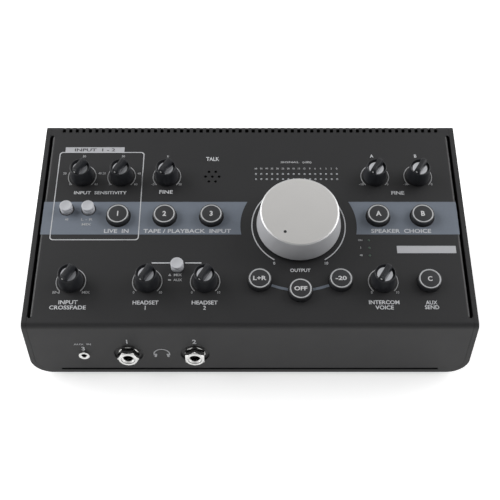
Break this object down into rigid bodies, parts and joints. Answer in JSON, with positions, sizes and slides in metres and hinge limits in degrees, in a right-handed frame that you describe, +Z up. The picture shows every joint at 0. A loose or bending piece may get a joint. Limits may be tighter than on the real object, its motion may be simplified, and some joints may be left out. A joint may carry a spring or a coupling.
{
  "type": "studio monitor controller",
  "caption": "Low wedge-shaped desktop audio controller with a large volume knob, smaller rotary controls, lit push buttons and jacks.",
  "frame": {"origin": "on the desk, under the middle of the case", "axes": "+X to the user's right, +Y from the user to the rear panel, +Z up"},
  "size_m": [0.297, 0.1688, 0.0963],
  "materials": {
    "case_paint": "fine matte black powder coat",
    "feet": "matte black rubber",
    "screws": "black zinc plated steel",
    "circuit_board": "green solder resist",
    "standoffs": "plain brass",
    "black_moulding": "fine textured black moulding",
    "plated_nuts": "bright nickel plate",
    "socket_shell": "tin plated shell",
    "switch_bodies": "dark grey moulding",
    "lamps": "milky lens, unlit",
    "microphone_shell": "plain aluminium can",
    "ribbon": "grey ribbon cable",
    "turned_aluminium": "fine turned, satin anodised",
    "shaft_steel": "plain steel",
    "knob_plastic": "satin black moulding",
    "button_plastic": "satin black moulding",
    "light_ring": "milky white translucent",
    "push_cap": "pale grey moulding"
  },
  "bodies": {
    "case": {"wrap_chassis": "case_paint", "top_cover": "case_paint", "rear_panel": "case_paint", "rubber_feet": "feet", "foot_screws": "screws", "case_screws": "screws", "control_board": "circuit_board", "main_board": "circuit_board", "board_standoffs": "standoffs", "board_screws": "screws", "headphone_jacks": "black_moulding", "line_jacks": "black_moulding", "mini_jack": "black_moulding", "jack_nuts": "plated_nuts", "combo_jacks": "black_moulding", "usb_socket": "socket_shell", "power_inlet": "black_moulding", "power_switch": "black_moulding", "pot_bodies": "switch_bodies", "button_switches": "switch_bodies", "latch_switches": "switch_bodies", "meter_lamps": "lamps", "status_lamps": "lamps", "talkback_microphone": "microphone_shell", "ribbon_headers": "black_moulding", "ribbon_cable": "ribbon"},
    "gain_1_control": {"knob_gain_1": "knob_plastic"},
    "gain_2_control": {"knob_gain_2": "knob_plastic"},
    "line_trim_control": {"knob_line_trim": "knob_plastic"},
    "trim_a_control": {"knob_trim_a": "knob_plastic"},
    "trim_b_control": {"knob_trim_b": "knob_plastic"},
    "blend_control": {"knob_blend": "knob_plastic"},
    "phones_1_control": {"knob_phones_1": "knob_plastic"},
    "phones_2_control": {"knob_phones_2": "knob_plastic"},
    "talkback_control": {"knob_talkback": "knob_plastic"},
    "volume_control": {"volume_knob": "turned_aluminium", "volume_insert": "black_moulding", "volume_shaft": "shaft_steel"},
    "source_1_button": {"button_source_1": "button_plastic", "light_ring_source_1": "light_ring"},
    "source_2_button": {"button_source_2": "button_plastic", "light_ring_source_2": "light_ring"},
    "source_3_button": {"button_source_3": "button_plastic", "light_ring_source_3": "light_ring"},
    "monitor_a_button": {"button_monitor_a": "button_plastic", "light_ring_monitor_a": "light_ring"},
    "monitor_b_button": {"button_monitor_b": "button_plastic", "light_ring_monitor_b": "light_ring"},
    "mono_button": {"button_mono": "button_plastic", "light_ring_mono": "light_ring"},
    "mute_button": {"button_mute": "button_plastic", "light_ring_mute": "light_ring"},
    "dim_button": {"button_dim": "button_plastic", "light_ring_dim": "light_ring"},
    "cue_button": {"button_cue": "button_plastic", "light_ring_cue": "light_ring"},
    "phantom_push": {"push_phantom": "push_cap"},
    "pan_push": {"push_pan": "push_cap"},
    "phones_source_push": {"push_phones_source": "push_cap"},
    "power_control": {"power_rocker": "black_moulding"}
  },
  "joints": [
    {"name": "turn_gain_1", "type": "hinge", "parent": "case", "child": "gain_1_control", "pos_m": [-0.1189, 0.03453, 0.07932], "axis": [0, 0.2164, -0.9763], "range_deg": [0, 298]},
    {"name": "turn_gain_2", "type": "hinge", "parent": "case", "child": "gain_2_control", "pos_m": [-0.09095, 0.03453, 0.07932], "axis": [0, 0.2164, -0.9763], "range_deg": [0, 298]},
    {"name": "turn_line_trim", "type": "hinge", "parent": "case", "child": "line_trim_control", "pos_m": [-0.0589, 0.03453, 0.07932], "axis": [0, 0.2164, -0.9763], "range_deg": [0, 298]},
    {"name": "turn_trim_a", "type": "hinge", "parent": "case", "child": "trim_a_control", "pos_m": [0.0884, 0.03453, 0.07932], "axis": [0, 0.2164, -0.9763], "range_deg": [0, 298]},
    {"name": "turn_trim_b", "type": "hinge", "parent": "case", "child": "trim_b_control", "pos_m": [0.1189, 0.03453, 0.07932], "axis": [0, 0.2164, -0.9763], "range_deg": [0, 298]},
    {"name": "turn_blend", "type": "hinge", "parent": "case", "child": "blend_control", "pos_m": [-0.1189, -0.04768, 0.0611], "axis": [0, 0.2164, -0.9763], "range_deg": [0, 298]},
    {"name": "turn_phones_1", "type": "hinge", "parent": "case", "child": "phones_1_control", "pos_m": [-0.0682, -0.04768, 0.0611], "axis": [0, 0.2164, -0.9763], "range_deg": [0, 298]},
    {"name": "turn_phones_2", "type": "hinge", "parent": "case", "child": "phones_2_control", "pos_m": [-0.0298, -0.04768, 0.0611], "axis": [0, 0.2164, -0.9763], "range_deg": [0, 298]},
    {"name": "turn_talkback", "type": "hinge", "parent": "case", "child": "talkback_control", "pos_m": [0.0884, -0.04768, 0.0611], "axis": [0, 0.2164, -0.9763], "range_deg": [0, 298]},
    {"name": "turn_volume", "type": "hinge", "parent": "case", "child": "volume_control", "pos_m": [0.03335, -0.00492, 0.07058], "axis": [0, 0.2164, -0.9763], "range_deg": [0, 296]},
    {"name": "press_source_1", "type": "slide", "parent": "case", "child": "source_1_button", "axis": [0, 0.2164, -0.9763], "range_m": [0, 0.0012], "stiffness_N_per_m": 400, "springref_m": -0.001},
    {"name": "press_source_2", "type": "slide", "parent": "case", "child": "source_2_button", "axis": [0, 0.2164, -0.9763], "range_m": [0, 0.0012], "stiffness_N_per_m": 400, "springref_m": -0.001},
    {"name": "press_source_3", "type": "slide", "parent": "case", "child": "source_3_button", "axis": [0, 0.2164, -0.9763], "range_m": [0, 0.0012], "stiffness_N_per_m": 400, "springref_m": -0.001},
    {"name": "press_monitor_a", "type": "slide", "parent": "case", "child": "monitor_a_button", "axis": [0, 0.2164, -0.9763], "range_m": [0, 0.0012], "stiffness_N_per_m": 400, "springref_m": -0.001},
    {"name": "press_monitor_b", "type": "slide", "parent": "case", "child": "monitor_b_button", "axis": [0, 0.2164, -0.9763], "range_m": [0, 0.0012], "stiffness_N_per_m": 400, "springref_m": -0.001},
    {"name": "press_mono", "type": "slide", "parent": "case", "child": "mono_button", "axis": [0, 0.2164, -0.9763], "range_m": [0, 0.0012], "stiffness_N_per_m": 400, "springref_m": -0.001},
    {"name": "press_mute", "type": "slide", "parent": "case", "child": "mute_button", "axis": [0, 0.2164, -0.9763], "range_m": [0, 0.0012], "stiffness_N_per_m": 400, "springref_m": -0.001},
    {"name": "press_dim", "type": "slide", "parent": "case", "child": "dim_button", "axis": [0, 0.2164, -0.9763], "range_m": [0, 0.0012], "stiffness_N_per_m": 400, "springref_m": -0.001},
    {"name": "press_cue", "type": "slide", "parent": "case", "child": "cue_button", "axis": [0, 0.2164, -0.9763], "range_m": [0, 0.0012], "stiffness_N_per_m": 400, "springref_m": -0.001},
    {"name": "press_phantom", "type": "slide", "parent": "case", "child": "phantom_push", "axis": [0, 0.2164, -0.9763], "range_m": [0, 0.0025], "stiffness_N_per_m": 300, "springref_m": -0.001},
    {"name": "press_pan", "type": "slide", "parent": "case", "child": "pan_push", "axis": [0, 0.2164, -0.9763], "range_m": [0, 0.0025], "stiffness_N_per_m": 300, "springref_m": -0.001},
    {"name": "press_phones_source", "type": "slide", "parent": "case", "child": "phones_source_push", "axis": [0, 0.2164, -0.9763], "range_m": [0, 0.0025], "stiffness_N_per_m": 300, "springref_m": -0.001},
    {"name": "rock_power", "type": "hinge", "parent": "case", "child": "power_control", "pos_m": [0.1305, 0.0785, 0.045], "axis": [1, 0, 0], "range_deg": [0, 22]}
  ]
}
